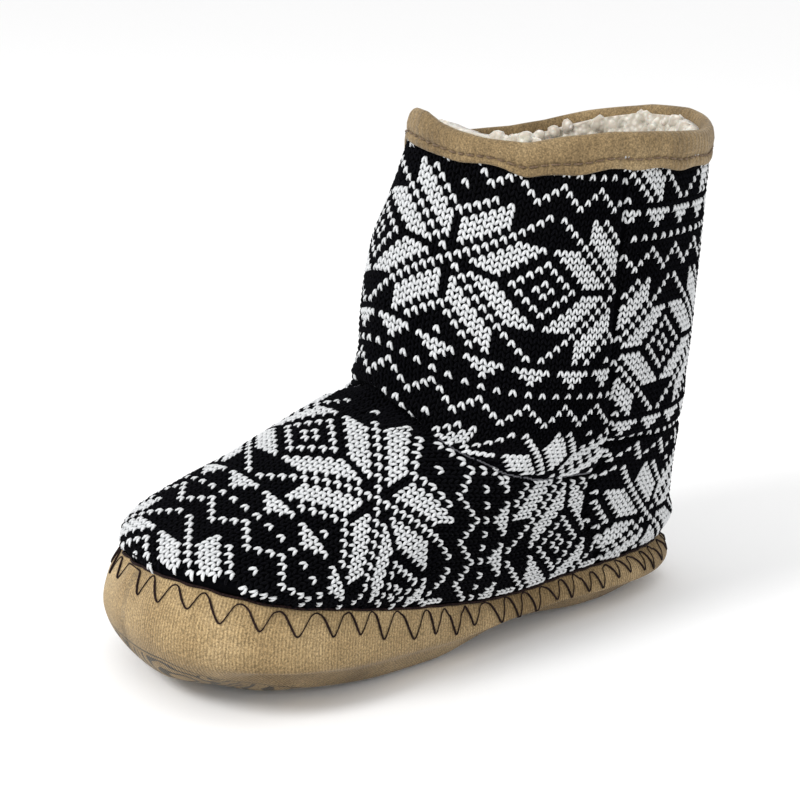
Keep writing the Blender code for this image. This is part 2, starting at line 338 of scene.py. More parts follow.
# How the collar stands off its level oval, in millimetres by degrees from the toe: it rises to a
# soft pinched corner in front, and sags beside it on the outer side
COLLAR_RISE = (
    (-180, 3), (-173, 2.6), (-165, 1.2), (-158, 0.2), (-145, -1.8), (-135, -4), (-126, -6),
    (-110, -8), (-90, -8.5), (-65, -8.5), (-48, -7.5), (-32, -4.5), (-20, 1.0), (-10, 4.6),
    (0, 4.6), (8, 3.2), (22, 2.5), (36, 1.5), (44, -0.6), (58, 2.2), (74, 4.6), (92, 4.6),
    (110, 3.5), (127, 2), (145, 3.2), (165, 4), (180, 3),
)
COLLAR_PINCH = (
    (-180, 0), (-150, 0.5), (-130, 3), (-110, 6), (-90, 8.5), (-65, 11), (-45, 13), (-32, 12),
    (-20, 8), (-11, 3), (0, 1.2), (10, 0.6), (28, 0), (180, 0),
)

# How the padded cup's edge and its rounder lower edge stand over the plain band, and how far the
# toe pushes out, in millimetres by degrees from the toe
EDGE_LIFT = (
    (-180, 0), (-110, 1), (-60, 3), (-30, 3), (-16, 1.5), (0, 4), (8, 6.3), (20, 8), (30, 8.2),
    (45, 7), (57, 6.4), (68, 4.6), (78, 3), (92, 0), (104, 0.3), (112, 2.2), (124, 2.2),
    (150, 0), (180, 0),
)
TURN_LIFT = (
    (-180, 2), (-140, 3), (-100, 2.5), (-60, 3), (-20, 0.5), (0, 0.2), (8, 1.2), (20, 6), (30, 9.0),
    (40, 11.6), (52, 9.2), (62, 6.5), (72, 5.5), (85, 4), (97, 4.8), (110, 6.2), (125, 6.4),
    (135, 4.2), (150, 3), (180, 2),
)
TOE_PUSH = ((-180, 0), (-75, 0), (-40, 1.2), (-15, 1.4), (5, 0.8), (25, 0), (180, 0))

# Shares of the edge lift, the turn lift and the toe push in each key ring of the sole, tread first
SOLE_SHARES = ((0.0, 0.38, 0.2), (0.0, 1.0, 0.8), (0.80, 0.0, 1.0), (0.95, 0.0, 1.0), (1.0, 0.0, 0.8))
TURN_INSET_SHARE = 0.22


def softened(values, reach):
    """A closed row of values, evened out over some columns to either side."""
    offsets = np.arange(-reach, reach + 1)
    weights = 1 + np.cos(offsets * np.pi / (reach + 1))
    return sum(w * np.roll(values, o) for w, o in zip(weights, offsets)) / weights.sum()


def by_angle(table, reach=8):
    """A table's values for every column, softened, in metres."""
    return softened(np.interp(TURNS, *np.array(table).T), reach) / 1000


def crease_depth(key):
    """Depth of all creases, the side seams' troughs and the low puff in one ring."""
    depth = SEAM_TROUGH * bell(AWAY, side_seam(key), SEAM_TROUGH_REACH) - PUFF * bell(key, PUFF_KEY, 0.6)
    for crease in CREASES:
        turn = (DEGREES - crease.angle + 180) % 360 - 180
        level = key - crease.key - crease.slant * turn
        depth += crease.depth * bell(level, 0, crease.key_reach) * bell(turn, 0, crease.angle_reach)
    return depth


def upper_skin():
    """The upper's outer surface with its creases, as rings from the tuck to the collar."""
    rings = between(upper_keys(), SAMPLES)
    seam_key = softened(ankle_seam(TURNS), 8)
    rise = by_angle(COLLAR_RISE, 6)
    pinch = by_angle(COLLAR_PINCH, 6)
    edge_lift = by_angle(EDGE_LIFT)
    push = by_angle(TOE_PUSH)
    fold_step = FOLD_STEP_SIDE + (FOLD_STEP_FRONT - FOLD_STEP_SIDE) * bell(TURNS, 0, 45)
    for i in range(len(rings)):
        key = i / SAMPLES
        rings[i] = inset(rings[i], -push * (1 - smooth(key, LIP_KEY, TOE_PUSH_END)))
        rings[i, :, 2] += edge_lift * (1 - smooth(key, LIP_KEY, EDGE_LIFT_END))
        rings[i, :, 2] -= LIP_SINK * bell(key, *LIP_SINK_KEYS)
        rings[i, :, 2] += VAMP_RISE * bell(key, *VAMP_RISE_KEYS) * bell(TURNS, *VAMP_RISE_TURNS)
        rings[i] = inset(rings[i], TOE_TUCK * bell(key, *TOE_TUCK_KEYS) * bell(TURNS, *TOE_TUCK_TURNS))
        if key < LIP_KEY:
            continue
        in_front = 1 - smooth(AWAY, side_seam(key) - 8, side_seam(key) + 2)
        below = seam_key - key
        under = fold_step * np.exp(-(below / FOLD_BELOW) ** 2)
        over = FOLD_BULGE_SHARE * fold_step * bell(below, -FOLD_BULGE_REACH * 0.8, FOLD_BULGE_REACH)
        fold = np.where(below > 0, under, under * np.exp(below / FOLD_ABOVE) - over)
        free = smooth(key, LIP_KEY, KEYS_BELOW_PUFF) * (1 - smooth(key, COLLAR_KEY - 1.2, COLLAR_KEY - 0.4))
        pinched = smooth(key, COLLAR_KEY - 2.4, COLLAR_KEY + 0.2)
        rings[i] = inset(rings[i], (crease_depth(key) + fold * in_front) * free + pinch * pinched)
        rings[i, :, 2] += rise * smooth(key, COLLAR_KEY - 2.2, COLLAR_KEY - 0.8)
    return rings


def skin_normals(points):
    """Outward normals of a closed band of rings."""
    round_boot = np.roll(points, -1, axis=1) - np.roll(points, 1, axis=1)
    normals = unit(np.cross(round_boot, np.gradient(points, axis=0)))
    return normals * np.sign(np.sum(normals * (points - points.mean(axis=1)[:, None])))


SKIN = upper_skin()
SKIN_NORMALS = skin_normals(SKIN)


def at_angle(rings, degrees):
    """The column of a band of rings at one angle."""
    place = (degrees % 360.0) / 360.0 * COLUMNS
    low = int(place) % COLUMNS
    share = place - int(place)
    return rings[:, low] * (1 - share) + rings[:, (low + 1) % COLUMNS] * share


# Meshes


def mesh_object(name, points, faces, material, uv=None):
    """A smooth mesh from arrays; faces is one array of quads or triangles, or a list of both."""
    groups = faces if isinstance(faces, list) else [faces]
    data = bpy.data.meshes.new(name)
    loops = np.concatenate([g.ravel() for g in groups]).astype(np.int32)
    counts = np.concatenate([np.full(len(g), g.shape[1]) for g in groups])
    starts = np.concatenate([[0], np.cumsum(counts)[:-1]]).astype(np.int32)
    data.vertices.add(len(points))
    data.vertices.foreach_set("co", np.asarray(points, np.float32).ravel())
    data.loops.add(len(loops))
    data.loops.foreach_set("vertex_index", loops)
    data.polygons.add(len(counts))
    data.polygons.foreach_set("loop_start", starts)
    if uv is not None:
        layer = data.uv_layers.new(name="surface")
        layer.data.foreach_set("uv", np.asarray(uv, np.float32)[loops].ravel())
    data.update(calc_edges=True)
    data.validate()
    data.shade_smooth()
    data.materials.append(material)
    piece = bpy.data.objects.new(name, data)
    bpy.context.scene.collection.objects.link(piece)
    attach(piece, "root")
    return piece


def band_faces(rows, columns, first=0):
    """Quads between closed rings of points laid out one ring after the other."""
    i, j = np.meshgrid(np.arange(rows - 1), np.arange(columns), indexing="ij")
    here, above = i * columns, (i + 1) * columns
    k = (j + 1) % columns
    return np.stack([here + j, here + k, above + k, above + j], axis=-1).reshape(-1, 4) + first


def looped_faces(rows, columns):
    """The same, with the last ring joined to the first."""
    return band_faces(rows + 1, columns) % (rows * columns)


def capped(band):
    """Points and faces of a band of rings, closed by a fan at either end."""
    count = band.shape[1]
    points = band.reshape(-1, 3)
    j = np.arange(count)
    nxt = (j + 1) % count
    caps = []
    for row, order in ((0, (nxt, j)), (len(band) - 1, (j, nxt))):
        tip = np.full(count, len(points))
        points = np.concatenate([points, band[row].mean(axis=0)[None]])
        caps.append(np.stack([order[0] + row * count, order[1] + row * count, tip], axis=1))
    return points, [band_faces(len(band), count), np.concatenate(caps)]


def tube_ends(count, sides):
    """The two faces that close a band of round sections."""
    return np.stack([np.arange(sides)[::-1], np.arange(sides) + (count - 1) * sides])


def tube_rings(path, tangent, radius, sides):
    """Round sections along a path, and their surface map."""
    side = unit(np.cross(tangent, [0.0, 0.0, 1.0]))
    over = np.cross(side, tangent)
    turn = np.arange(sides) * 2 * np.pi / sides
    ring = side[:, None] * np.cos(turn)[None, :, None] + over[:, None] * np.sin(turn)[None, :, None]
    return path[:, None] + ring * radius[:, None, None], turn / (2 * np.pi)


def tube(name, path, radius, material, closed=False, sides=6):
    """A round cord along a path of points, with pointed ends when it isn't closed."""
    count = len(path)
    radius = np.broadcast_to(radius, count).copy()
    if closed:
        tangent = np.roll(path, -1, axis=0) - np.roll(path, 1, axis=0)
        faces = looped_faces(count, sides)
    else:
        tangent = np.gradient(path, axis=0)
        radius[0] = radius[-1] = radius.mean() * 0.05
        faces = [band_faces(count, sides), tube_ends(count, sides)]
    points, u = tube_rings(path, unit(tangent), radius, sides)
    v = run_lengths(path) * 1000
    uv = np.stack(np.broadcast_arrays(u[None, :], v[:, None]), axis=-1)
    return mesh_object(name, points.reshape(-1, 3), faces, material, uv.reshape(-1, 2))


# Materials


def grey(value):
    return (value, value, value)


class Look:
    """A material, with short calls for the nodes of its colour and relief."""

    def __init__(self, name, color, roughness):
        self.material = bpy.data.materials.new(name)
        self.material.use_nodes = True
        self.tree = self.material.node_tree
        self.shader = self.tree.nodes["Principled BSDF"]
        self.where = self.node("TexCoord").outputs["Object"]
        self.relief = None
        self.set(self.shader, {"Base Color": color, "Roughness": roughness})

    def node(self, kind, inputs=None, **settings):
        """A new node. Each of its inputs is a number, a colour or what comes out of another node."""
        node = self.tree.nodes.new("ShaderNode" + kind)
        for name, value in settings.items():
            setattr(node, name, value)
        self.set(node, inputs or {})
        return node

    def set(self, node, inputs):
        for name, value in inputs.items():
            socket = node.inputs[name]
            if isinstance(value, bpy.types.NodeSocket):
                self.tree.links.new(value, socket)
            else:
                socket.default_value = (*value, 1) if socket.type == "RGBA" else value

    def noise(self, scale, detail, rough=0.55):
        inputs = {"Vector": self.where, "Scale": scale, "Detail": detail, "Roughness": rough}
        return self.node("TexNoise", inputs).outputs["Fac"]

    def ramp(self, value, *stops):
        """Colours by value: each stop is a place from 0 to 1 and its colour."""
        node = self.node("ValToRGB", {"Fac": value})
        elements = node.color_ramp.elements
        while len(elements) < len(stops):
            elements.new(0.5)
        for element, (place, color) in zip(elements, stops):
            element.position = place
            element.color = (*color, 1)
        return node.outputs["Color"]

    def mix(self, kind, share, first, second):
        inputs = {"Factor": share, 6: first, 7: second}
        return self.node("Mix", inputs, data_type="RGBA", blend_type=kind).outputs[2]

    def math(self, kind, *values):
        return self.node("Math", dict(enumerate(values)), operation=kind).outputs[0]

    def stripes(self, stretch, turn, inputs):
        """Waves on the piece's own surface map, stretched and turned."""
        surface = self.node("UVMap").outputs["UV"]
        placed = self.node("Mapping", {"Vector": surface, "Scale": stretch, "Rotation": (0, 0, turn)})
        return self.node("TexWave", {"Vector": placed.outputs["Vector"], **inputs}).outputs["Fac"]

    def bump(self, height, strength, distance):
        """Relief, over the relief that is there already."""
        inputs = {"Height": height, "Strength": strength, "Distance": distance}
        if self.relief is not None:
            inputs["Normal"] = self.relief
        self.relief = self.node("Bump", inputs).outputs["Normal"]
        self.set(self.shader, {"Normal": self.relief})


TWIST_STRETCH = (3.0, 1.0, 1.0)
RIB_STRETCH = (1.0, 0.35, 1.0)
PRINT_INK = (0.030, 0.024, 0.018)
# Colour of the painted shade that darkens the suede low on the cup and towards its heel
PAINTED_SHADE_COLOR = (0.40, 0.37, 0.33)


def yarn_material(name, dark, light, sheen, gloss=0.12):
    """Soft matt yarn: two plies that twist round each other, and a halo of short fibres."""
    look = Look(name, light, 0.92)
    color = look.ramp(look.noise(900, 3), (0.32, dark), (0.68, light))
    patches = look.ramp(look.noise(60, 2), (0.35, grey(0.78)), (0.65, grey(1.0)))
    look.set(look.shader, {
        "Base Color": look.mix("MULTIPLY", 0.2, color, patches),
        "Sheen Weight": sheen,
        "Sheen Roughness": 0.5,
        "Specular IOR Level": gloss,
    })
    look.bump(look.stripes(TWIST_STRETCH, 0.7, {"Scale": 1.6, "Distortion": 0.6}), 0.5, 0.0002)
    look.bump(look.noise(3500, 4), 0.5, 0.00012)
    return look.material


def scroll_print(look, color):
    """Plain dark swirls printed on the underside, from rings round scattered centres."""
    printed = look.node("Attribute", attribute_name="print").outputs["Fac"]
    bend = look.node("TexNoise", {"Vector": look.where, "Scale": 45}).outputs["Color"]
    moved = look.node("VectorMath", {0: bend, 1: grey(0.022), 2: look.where}, operation="MULTIPLY_ADD")
    centres = look.node("TexVoronoi", {"Vector": moved.outputs["Vector"], "Scale": 36})
    wave = look.math("SINE", look.math("MULTIPLY", centres.outputs["Distance"], 38.0))
    line = look.ramp(wave, (0.30, grey(0.0)), (0.48, grey(1.0)))
    inner = look.ramp(printed, (0.70, grey(0.0)), (0.82, grey(1.0)))
    border = look.ramp(
        printed, (0.40, grey(0.0)), (0.47, grey(1.0)), (0.53, grey(1.0)), (0.60, grey(0.0)))
    share = look.math("MAXIMUM", look.math("MULTIPLY", line, inner), border)
    return look.mix("MIX", share, color, PRINT_INK)


def suede_material(name, base, dark, light, rib_pitch, rib_strength, printed=False):
    """Short-napped suede with fine ribs up its height and speckled highlights; on the printed cup also
    painted shade, darker in uneven patches low down and towards the heel.
    """
    look = Look(name, base, 0.95)
    cloud = look.noise(35, 4)
    color = look.ramp(cloud, (0.25, dark), (0.5, base), (0.80, light))
    grain = look.noise(1500, 3, 0.7)
    speckle = look.ramp(grain, (0.34, grey(0.20)), (0.50, grey(0.5)), (0.66, (0.86, 0.86, 0.85)))
    color = look.mix("OVERLAY", 0.80, color, speckle)
    rib_scale = 0.001 / rib_pitch * math.pi / 10
    ribs = look.stripes(RIB_STRETCH, 0.0, {
        "Scale": rib_scale,
        "Distortion": 1.6,
        "Detail": 3,
        "Detail Scale": 1.2,
    })
    furrows = look.ramp(ribs, (0.15, (0.62, 0.58, 0.52)), (0.6, grey(1.0)))
    color = look.mix("MULTIPLY", rib_strength, color, furrows)
    if printed:
        # Painted shade: on the printed cup the suede is darkened low down and towards the heel, in uneven
        # patches
        painted_shade = look.node("Attribute", attribute_name="painted_shade").outputs["Fac"]
        patches = look.ramp(cloud, (0.30, grey(1.0)), (0.75, grey(0.45)))
        color = look.mix("MULTIPLY", look.math("MULTIPLY", painted_shade, patches), color, PAINTED_SHADE_COLOR)
        color = scroll_print(look, color)
    look.set(look.shader, {
        "Base Color": color,
        "Sheen Weight": 0.18,
        "Sheen Roughness": 0.45,
        "Sheen Tint": (1.0, 0.95, 0.85),
        "Specular IOR Level": 0.2,
    })
    look.bump(ribs, 0.5, 0.0003)
    look.bump(grain, 0.6, 0.0002)
    look.bump(look.noise(300, 3), 0.4, 0.0005)
    return look.material


def pile_material():
    """Curly cream pile: light tips, warm shade down between the curls."""
    look = Look("cream_pile", (0.86, 0.82, 0.74), 1.0)
    cells = {"Vector": look.where, "Scale": 420, "Smoothness": 0.6}
    curls = look.node("TexVoronoi", cells, feature="SMOOTH_F1").outputs["Distance"]
    color = look.ramp(curls, (0.05, (0.85, 0.81, 0.73)), (0.55, (0.50, 0.45, 0.37)))
    soft = look.ramp(look.noise(90, 3), (0.3, (0.82, 0.79, 0.74)), (0.6, grey(1.0)))
    look.set(look.shader, {
        "Base Color": look.mix("MULTIPLY", 0.5, color, soft),
        "Sheen Weight": 0.5,
        "Sheen Roughness": 0.6,
        "Subsurface Weight": 0.1,
        "Subsurface Scale": 0.003,
    })
    look.bump(curls, 0.9, 0.0012)
    look.bump(look.noise(1500, 4), 0.6, 0.0004)
    return look.material


def thread_material(name, dark, light, sheen=0.2, gloss=0.4):
    """Twisted sewing thread."""
    look = Look(name, light, 0.7)
    look.set(look.shader, {
        "Base Color": look.ramp(look.noise(1200, 2), (0.35, dark), (0.7, light)),
        "Specular IOR Level": gloss,
        "Sheen Weight": sheen,
    })
    look.bump(look.stripes(TWIST_STRETCH, 0.8, {"Scale": 1.2}), 0.8, 0.0002)
    return look.material


BLACK_YARN = yarn_material("black_yarn", (0.0008, 0.0008, 0.0015), (0.003, 0.003, 0.005), 0.01, 0.05)
WHITE_YARN = yarn_material("white_yarn", (0.64, 0.655, 0.665), (0.84, 0.85, 0.86), 0.08)
BASE_KNIT = yarn_material("knit_ground", (0.0006, 0.0006, 0.001), (0.002, 0.002, 0.003), 0.0, 0.02)
SUEDE = suede_material(
    "tan_suede", (0.350, 0.250, 0.127), (0.265, 0.182, 0.088), (0.47, 0.35, 0.195), 0.0013, 0.6, True)
TAPE = suede_material(
    "tan_suede_tape", (0.212, 0.148, 0.074), (0.120, 0.081, 0.040), (0.345, 0.257, 0.142), 0.0030, 0.15)
PILE = pile_material()
DARK_THREAD = thread_material("dark_thread", (0.008, 0.004, 0.004), (0.040, 0.020, 0.019), 0.0, 0.1)
GREY_THREAD = thread_material("grey_thread", (0.06, 0.06, 0.075), (0.20, 0.20, 0.23))
TAPE_THREAD = thread_material("tape_thread", (0.16, 0.09, 0.04), (0.28, 0.17, 0.08))


# Knit


REPEAT_ACROSS = 24
REPEAT_ALONG = 35
STAR_REACH = 11


def is_white(column, row):
    """The chart: a star band of crossing lines, petals and diamonds, then triangles, dots, zigzag.

    Columns count across the wales, and rows the way that the arms of each stitch open.
    """
    across = abs((column + REPEAT_ACROSS // 2) % REPEAT_ACROSS - REPEAT_ACROSS // 2)
    along = (row + STAR_REACH) % REPEAT_ALONG - STAR_REACH
    height = abs(along)
    tooth = abs((column + 3) % 6 - 3)
    if height <= STAR_REACH:
        side_petal = 2 <= across - height <= 5 and 1 <= height <= 6
        end_petal = 2 <= height - across <= 5 and 1 <= across <= 6
        pocket = height - across == 7 and across <= 4
        dot = across == 0 and height == STAR_REACH
        diamond = REPEAT_ACROSS // 2 - across + height in (1, 4)
        return across == height or side_petal or end_petal or pocket or dot or diamond
    if 13 <= along <= 15:
        return tooth <= 15 - along
    if along == 17:
        return column % 2 == 0
    if 19 <= along <= 22:
        return tooth == along - 19
    return False


# One leg of a stitch: place across and along the stitch, height over the ground, half width as a
# share of the stitch's width, and half thickness in metres, from the root to the tip
Station = namedtuple("Station", "across along rise width thick")
LEG = (
    Station(0.04, -0.56, -0.00030, 0.02, 0.0001),
    Station(0.105, -0.34, 0.00020, 0.165, 0.00040),
    Station(0.25, 0.10, 0.00042, 0.205, 0.00047),
    Station(0.395, 0.52, 0.00016, 0.152, 0.00038),
    Station(0.46, 0.74, -0.00035, 0.02, 0.0001),
)
SHORTEST_STEP = 0.0002
LONGEST_STEP = 0.0020

# Each yarn: its name, whether the chart calls it white, its material, and the sides of a leg
YARNS = (("black", False, BLACK_YARN, 3), ("white", True, WHITE_YARN, 5))

# Spread of the legs' places in stitches, of their heights in metres and of their thickness
SPREAD_ACROSS = 0.018
SPREAD_ALONG = 0.030
SPREAD_OUT = 0.00007
SPREAD_THICK = 0.05

# Points of a panel's grid from one stitch to the next, and stitches that the grid has to spare
GRID_STEPS = 4
EDGE_STITCHES = 2


class Panel:
    """A cut piece of knit: its chart of stitches, laid on a grid of points of the skin."""

    def __init__(self, name, left, right, low, high, column_shift):
        self.name = name
        self.columns = np.arange(left, right + 1)
        self.rows = np.arange(low, high + 1)
        self.column_shift = column_shift
        self.across = self.grid_places(left, right)
        self.along = self.grid_places(low, high)
        size = (len(self.across), len(self.along))
        self.grid = np.zeros((*size, 3))
        self.inside = np.zeros(size, bool)
        self.plain = np.zeros(size, bool)

    def grid_places(self, first, last):
        steps = (last - first + 2 * EDGE_STITCHES) * GRID_STEPS + 1
        return np.arange(steps) / GRID_STEPS + first - EDGE_STITCHES

    def at(self, table, column, row):
        """Bilinear look-up in a table of the grid at places given in stitches."""
        i = np.clip((column - self.across[0]) * GRID_STEPS, 0, len(self.across) - 1.001)
        j = np.clip((row - self.along[0]) * GRID_STEPS, 0, len(self.along) - 1.001)
        i0, j0 = i.astype(int), j.astype(int)
        u, v = (i - i0)[..., None], (j - j0)[..., None]
        return (
            table[i0, j0] * (1 - u) * (1 - v) + table[i0 + 1, j0] * u * (1 - v)
            + table[i0, j0 + 1] * (1 - u) * v + table[i0 + 1, j0 + 1] * u * v
        )

    def share(self, flags, column, row):
        return self.at(flags[..., None].astype(float), column, row)[:, 0]

    def normals(self):
        """Normals of the grid, outward from the boot."""
        normal = np.cross(np.gradient(self.grid, axis=0), np.gradient(self.grid, axis=1))
        size = np.linalg.norm(normal, axis=2)[..., None]
        normal = normal / (size + 1e-15)
        away = (self.grid - np.array([0, 0.03, 0.05])) * np.array([1, 0.3, 1])
        return normal * np.sign(np.sum(normal * away * (size > 1e-12)))

    def knit(self):
        """Every stitch as two legs; one mesh for each colour of yarn."""
        column, row = (table.ravel() for table in np.meshgrid(self.columns, self.rows))
        white = np.array([is_white(c - self.column_shift, r) for c, r in zip(column, row)])
        white &= self.share(self.plain, column, row) < 0.01
        ok = self.share(self.inside, column, row) > 0.5
        for side in (-1, 1):
            places = [self.at(self.grid, column + side * s.across, row + s.along) for s in LEG]
            for first, second in zip(places, places[1:]):
                span = np.linalg.norm(second - first, axis=1)
                ok &= (span > SHORTEST_STEP) & (span < LONGEST_STEP)
        outward = self.normals()
        for shade, wanted, material, sides in YARNS:
            chosen = ok & (white == wanted)
            self.make_legs(shade, column[chosen], row[chosen], outward, material, sides)

    def make_legs(self, shade, column, row, outward, material, sides):
        count = len(column)
        shift_across, shift_along, shift_out, swell = rng.normal(0, 1, (4, count, 2))
        legs = [[], [], []]
        for station in LEG:
            found = []
            for k, side in enumerate((-1, 1)):
                c = column + side * station.across + SPREAD_ACROSS * shift_across[:, k]
                r = row + station.along + SPREAD_ALONG * shift_along[:, k]
                normal = unit(self.at(outward, c, r))
                rise = station.rise + SPREAD_OUT * shift_out[:, k]
                wide = np.linalg.norm(self.at(self.grid, c + 0.5, r) - self.at(self.grid, c - 0.5, r), axis=1)
                found.append((self.at(self.grid, c, r) + normal * rise[:, None], normal, wide))
            for table, both in zip(legs, zip(*found)):
                table.append(np.stack(both, axis=1))
        spine, normal, wide = (np.stack(table, axis=2) for table in legs)
        side = unit(np.cross(normal, np.gradient(spine, axis=2)))
        swell = 1 + SPREAD_THICK * swell[..., None]
        half = np.array([s.width for s in LEG]) * wide * swell
        thick = np.array([s.thick for s in LEG]) * swell
        turn = np.arange(sides) * 2 * np.pi / sides + np.pi / 2
        body = slice(1, len(LEG) - 1)
        rings = (
            spine[:, :, body, None]
            + side[:, :, body, None] * (half[:, :, body, None] * np.cos(turn))[..., None]
            + normal[:, :, body, None] * (thick[:, :, body, None] * np.sin(turn))[..., None]
        )
        rows = len(LEG) - 2
        rings = rings.reshape(count, 2, rows * sides, 3)
        points = np.concatenate([spine[:, :, :1], rings, spine[:, :, -1:]], axis=2).reshape(-1, 3)
        per_leg = rows * sides + 2
        k = np.arange(sides)
        nxt = (k + 1) % sides
        last = per_leg - 1 - sides
        root = np.stack([np.zeros_like(k), 1 + nxt, 1 + k], axis=1)
        tip = np.stack([np.full_like(k, per_leg - 1), last + k, last + nxt], axis=1)
        starts = (np.arange(count * 2) * per_leg)[:, None, None]
        caps = (np.concatenate([root, tip])[None] + starts).reshape(-1, 3)
        quads = (band_faces(rows, sides, first=1)[None] + starts).reshape(-1, 4)
        u = np.concatenate([[0.5], np.tile(k / sides, rows), [0.5]])
        v = np.concatenate([[0], np.repeat(np.arange(1, rows + 1), sides), [rows + 1]])
        uv = np.tile(np.stack([u, v], axis=1), (count * 2, 1))
        mesh_object(f"{self.name}_{shade}", points, [caps, quads], material, uv)


ROW_HEIGHT = 0.00235
FRONT_ROW_HEIGHT = 0.00232
FRONT_STAR_HEIGHT = 0.1435
FRONT_SWEEP = 0.016
FRONT_SWEEP_REACH = 38.0
FRONT_SWEEP_ROW = 0.0002
BACK_COLUMN_DEGREES = 2.26
BACK_STAR_HEIGHT = 0.1207

# Columns of the front shaft panel, counted from its middle, and their degrees round from the toe
FRONT_COLUMNS = (0.0, 3.5, 7.0, 10.5, 14.0, 19.0, 23.0, 27.0, 31.0, 36.0, 44.0, 52.0)
FRONT_ANGLES = (0.0, 11.6, 23.0, 34.0, 44.2, 58.0, 67.4, 75.6, 83.0, 91.5, 104.5, 117.0)

# Where the knit ends, in key rings: under the collar tape, in the cup and down in the ankle fold,
# which reaches some degrees round. The margins are degrees at the side seams and rings at the top
BINDING_KEY = COLLAR_KEY - 0.80
KNIT_END_KEY = LIP_KEY + 0.30
FOLD_KEY = 7.4
FOLD_REACH = 42.0
SEAM_MARGIN = 0.6
COLLAR_MARGIN = 11
MEAN_KEY_GAP = 0.014

# The vamp: its row height, the middle of its star, its top, and its stitches' widths by column
VAMP_ROW = 0.00240
TOP_STITCHES = 14.0
TOP_STITCH_WIDTH = 0.00455
SIDE_STITCH_WIDTH = 0.0029
STITCH_NARROWING = 0.0000028
VAMP_STAR_Y = -0.0456
VAMP_TOP_Y = -0.026
VAMP_RIDGE_COLUMN = 1.36
FAN_PIVOT_DEPTH = 0.050
LAST_FOOT_KEY = 8.7
SECTION_REACH = 0.008
FEWEST_POINTS = 4
YARN_DEPTH = 0.0007


def down_column(degrees, start_height, drops, low_key):
    """Points of one column of the skin at distances down it from a height, and their key rings."""
    line = at_angle(SKIN, degrees)[int(low_key * SAMPLES):]
    keys = low_key + np.arange(len(line)) / SAMPLES
    length = run_lengths(line)
    start = np.interp(start_height, np.maximum.accumulate(line[:, 2]), length)
    key = np.interp(start - drops, length, keys)
    points = np.stack([np.interp(key, keys, line[:, n]) for n in range(3)], axis=1)
    for past, end, before, sign in ((start - drops - length[-1], -1, -5, 1), (drops - start, 0, 4, -1)):
        beyond = past > 0
        points[beyond] = line[end] + past[beyond, None] * unit(line[end] - line[before])
        key[beyond] += sign * (0.01 + past[beyond] / MEAN_KEY_GAP)
    return points, key


def front_shaft():
    """Front shaft panel. Its rows rise towards the middle of the front."""
    panel = Panel("shaft_knit", -44, 44, -25, 38, 7)
    for i, column in enumerate(panel.across):
        angle = math.copysign(float(np.interp(abs(column), FRONT_COLUMNS, FRONT_ANGLES)), column)
        sweep = math.exp(-(angle / FRONT_SWEEP_REACH) ** 2)
        drops = panel.along * (FRONT_ROW_HEIGHT + FRONT_SWEEP_ROW * sweep)
        points, key = down_column(angle, FRONT_STAR_HEIGHT + FRONT_SWEEP * sweep, drops, 5)
        panel.grid[i] = points
        in_panel = abs(angle) < side_seam(key) - SEAM_MARGIN
        over_seam = key > ankle_seam(angle) + 0.10
        behind_vamp = (points[:, 1] > VAMP_TOP_Y - 0.0005) & (key > FOLD_KEY) & (abs(angle) < FOLD_REACH)
        panel.inside[i] = (over_seam | behind_vamp) & (key < BINDING_KEY) & in_panel
        panel.plain[i] = ~over_seam
    panel.knit()


def back_panel():
    """Back panel, from the collar down to the sole at the heel, with level rows."""
    panel = Panel("back_knit", -47, 47, 3, 80, 5)
    for i, column in enumerate(panel.across):
        angle = 180 + column * BACK_COLUMN_DEGREES
        drops = (panel.along - REPEAT_ALONG) * ROW_HEIGHT
        panel.grid[i], key = down_column(angle, BACK_STAR_HEIGHT, drops, LIP_KEY)
        in_panel = 180 - abs(angle - 180) > side_seam(key) + SEAM_MARGIN
        panel.inside[i] = (key > KNIT_END_KEY) & (key < BINDING_KEY) & in_panel
    panel.knit()


def vamp_width(column):
    """Distance across from the ridge to a column: wide stitches on top, narrower at the sides."""
    count = np.abs(column - VAMP_RIDGE_COLUMN)
    near = np.minimum(count, TOP_STITCHES)
    on_top = TOP_STITCH_WIDTH * near - STITCH_NARROWING * near ** 3
    return np.sign(column - VAMP_RIDGE_COLUMN) * (on_top + SIDE_STITCH_WIDTH * (count - near))


def fan(points, ridge_height):
    """Which section of the foot a point is in: upright behind the ball, leaning out at the toe."""
    ahead = points[..., 1] - VAMP_STAR_Y
    height = np.where(ahead < 0, points[..., 2], ridge_height)
    return ahead / (FAN_PIVOT_DEPTH + height)


def crossings(field, value, first, last, sign):
    """Where one side of the foot meets a section: points from the lip up, with key and angle."""
    half = COLUMNS // 2
    columns = np.arange(half + 1) * sign % COLUMNS
    found = []
    for t in range(first, last + 1):
        line = field[t, columns]
        if line[0] <= value < line[-1]:
            place = np.interp(value, line, np.arange(half + 1))
            low = min(int(place), half - 1)
            point = SKIN[t, columns[low]] * (1 - place + low) + SKIN[t, columns[low + 1]] * (place - low)
            found.append((*point, t / SAMPLES, place * 360.0 / COLUMNS * sign))
    return np.array(found).reshape(-1, 5)


def extended(u, line):
    """A section with a straight piece added at both ends."""
    first = line[0] + (line[0] - line[3]) * SECTION_REACH / max(abs(u[3] - u[0]), 1e-6)
    last = line[-1] + (line[-1] - line[-4]) * SECTION_REACH / max(abs(u[-1] - u[-4]), 1e-6)
    places = np.concatenate([[u[0] - SECTION_REACH], u, [u[-1] + SECTION_REACH]])
    return places, np.concatenate([[first], line, [last]])


